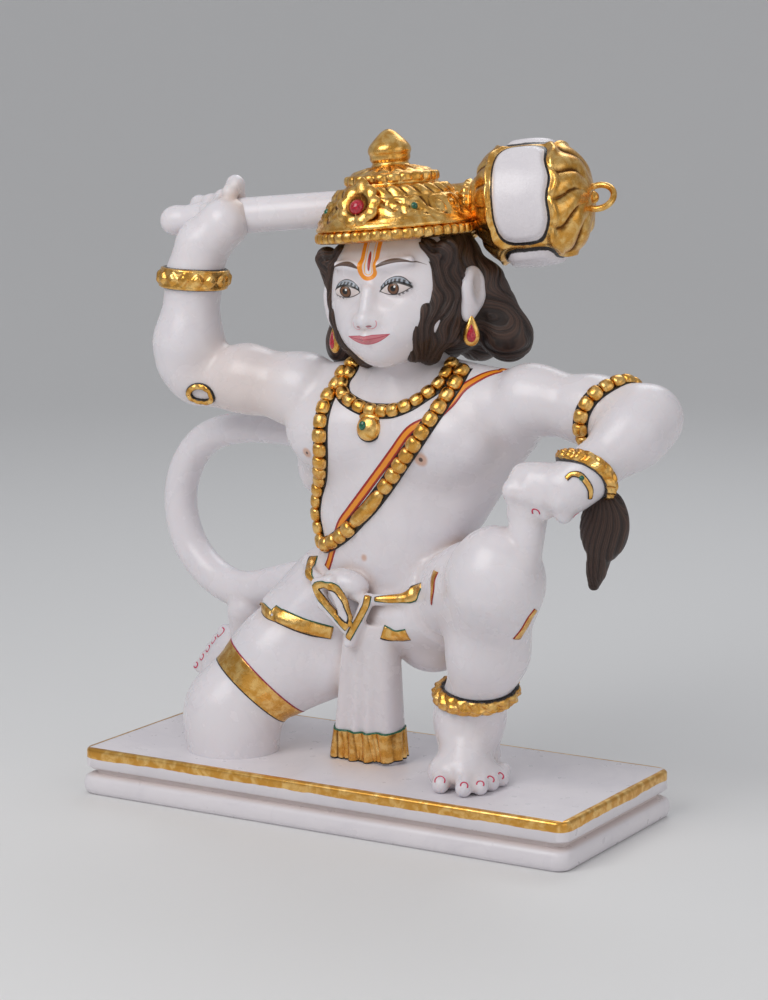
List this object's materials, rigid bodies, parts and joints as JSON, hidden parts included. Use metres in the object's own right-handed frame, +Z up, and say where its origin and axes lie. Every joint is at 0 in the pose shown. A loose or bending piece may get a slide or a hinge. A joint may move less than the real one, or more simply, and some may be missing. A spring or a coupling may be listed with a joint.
{
  "type": "carved marble figure",
  "caption": "Painted marble figure of a kneeling monkey-headed guardian with a mace across the shoulders, on a stepped plinth.",
  "frame": {"origin": "middle of the plinth's underside", "axes": "+Z up; the figure faces -Y, and its own left hand is towards +X"},
  "size_m": [0.4277, 0.1691, 0.4576],
  "materials": {
    "marble": "polished white marble",
    "gold_leaf": "gold leaf paint with dark outlines",
    "hair_paint": "dark brown painted marble, satin",
    "ruby_enamel": "gloss",
    "emerald_enamel": "gloss"
  },
  "bodies": {
    "root": {"hanuman_figure": "marble"}
  },
  "joints": []
}
